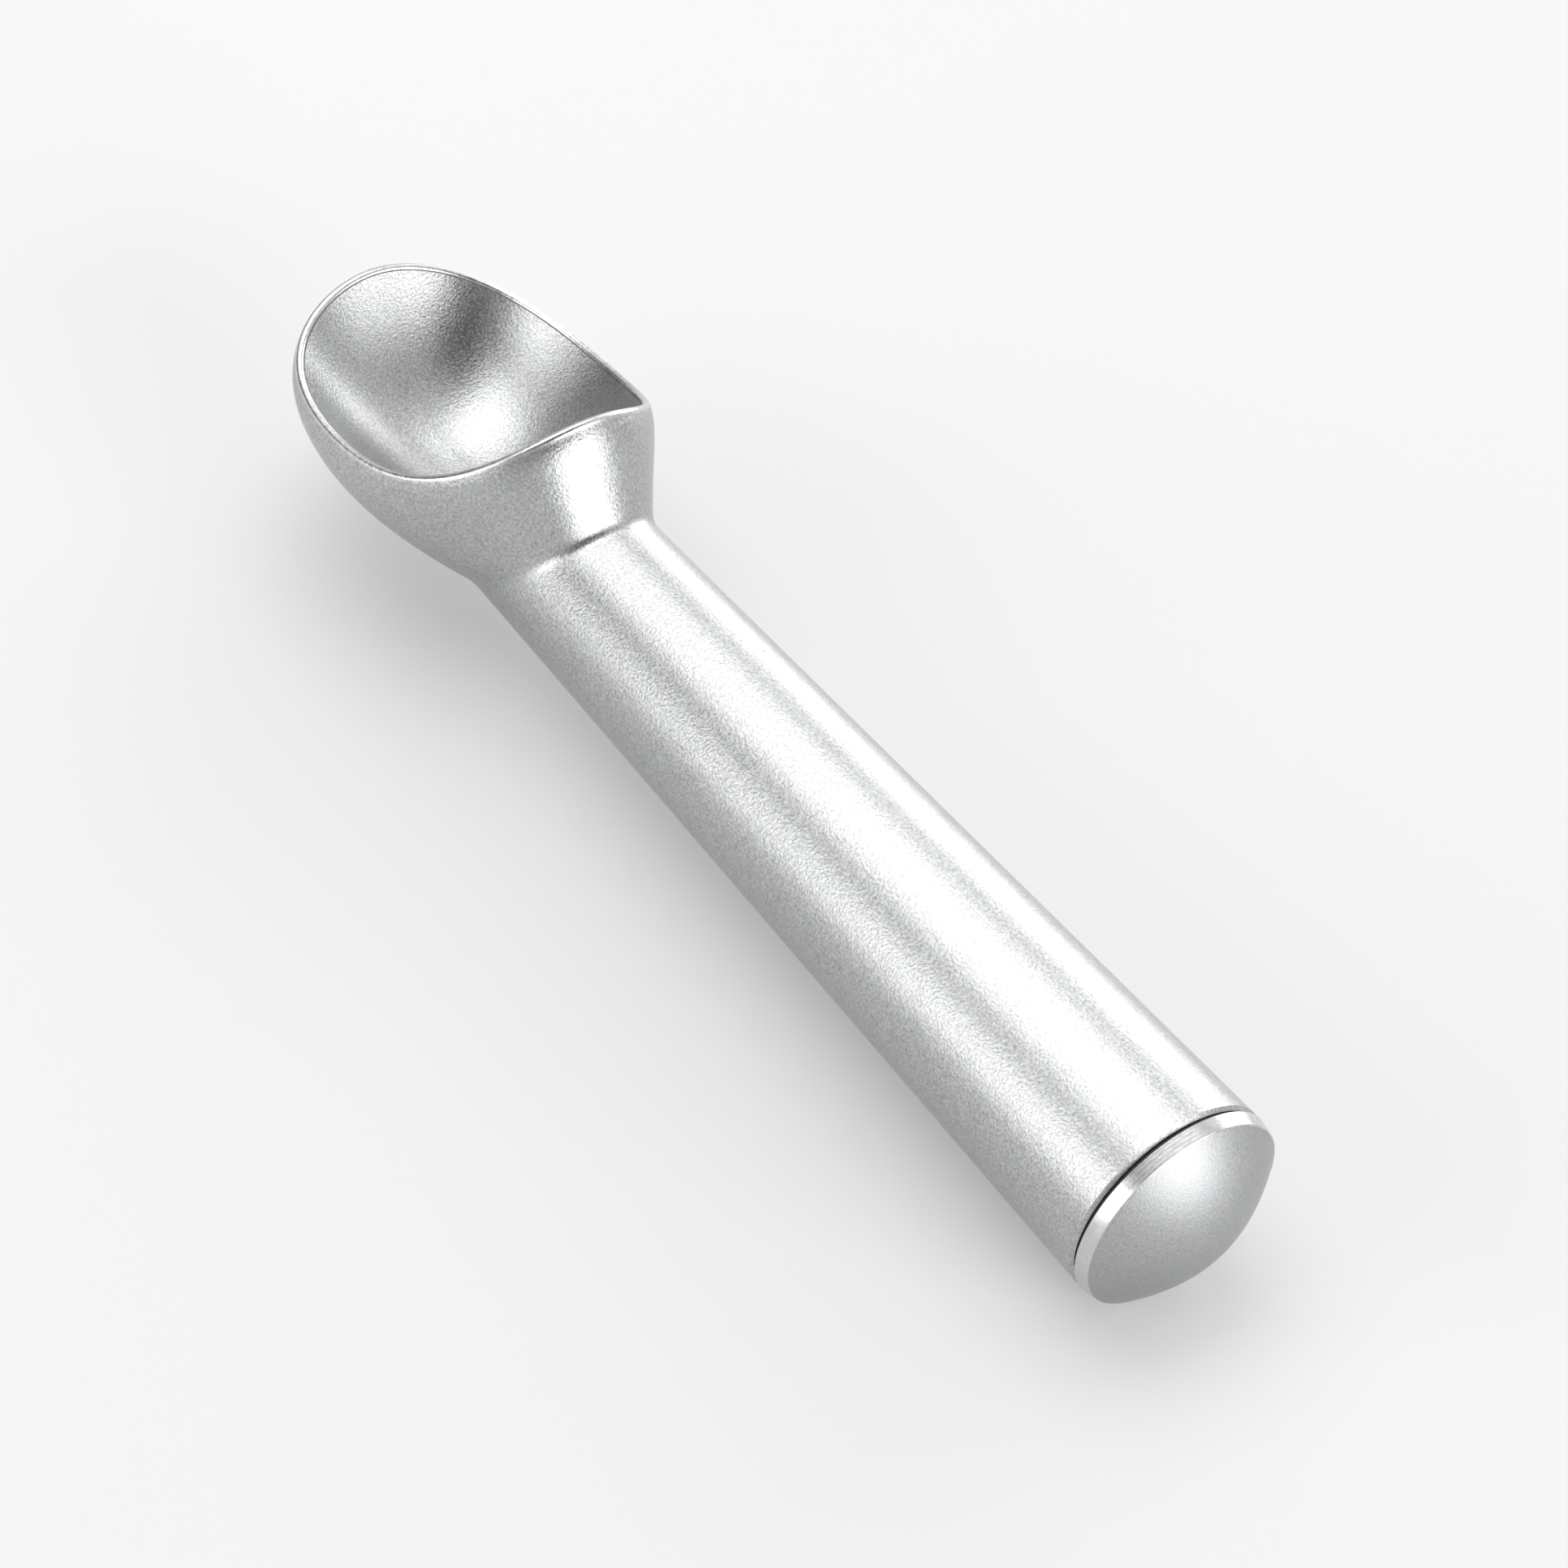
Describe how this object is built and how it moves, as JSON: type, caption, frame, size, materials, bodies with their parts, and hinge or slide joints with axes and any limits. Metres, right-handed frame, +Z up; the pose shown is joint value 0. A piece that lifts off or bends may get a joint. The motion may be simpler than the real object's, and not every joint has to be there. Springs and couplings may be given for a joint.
{
  "type": "ice cream scoop",
  "caption": "One-piece cast scoop with an oval bowl, a raised back wall and a tapered hollow handle that holds a warming fluid under a screwed domed end cap.",
  "frame": {"origin": "under the middle of the scoop's length, level with the lowest line of its handle", "axes": "+X along the handle from the cap to the bowl, +Z up out of the bowl, +Y across"},
  "size_m": [0.1814, 0.0416, 0.0387],
  "materials": {
    "cast_aluminium": "bead-blasted, matt",
    "turned_aluminium": "satin dome, polished band",
    "black_rubber": "matt",
    "warming_fluid": "clear liquid"
  },
  "bodies": {
    "scoop": {"scoop_body": "cast_aluminium", "heat_transfer_fluid": "warming_fluid"},
    "seals": {"cap_gasket": "black_rubber", "plug_o_ring": "black_rubber"},
    "cap": {"end_cap": "turned_aluminium"}
  },
  "joints": [
    {"name": "cap_travel", "type": "slide", "parent": "scoop", "child": "seals", "axis": [-1, 0, 0], "range_m": [0, 0.0091]},
    {"name": "cap_turn", "type": "hinge", "parent": "seals", "child": "cap", "pos_m": [-0.0824, 0, 0.0146], "axis": [-1, 0, 0], "range_deg": [0, 1080]}
  ],
  "couplings": [
    {"joint": "cap_travel", "follows": "cap_turn", "m_per_rad": 0.00047746}
  ]
}
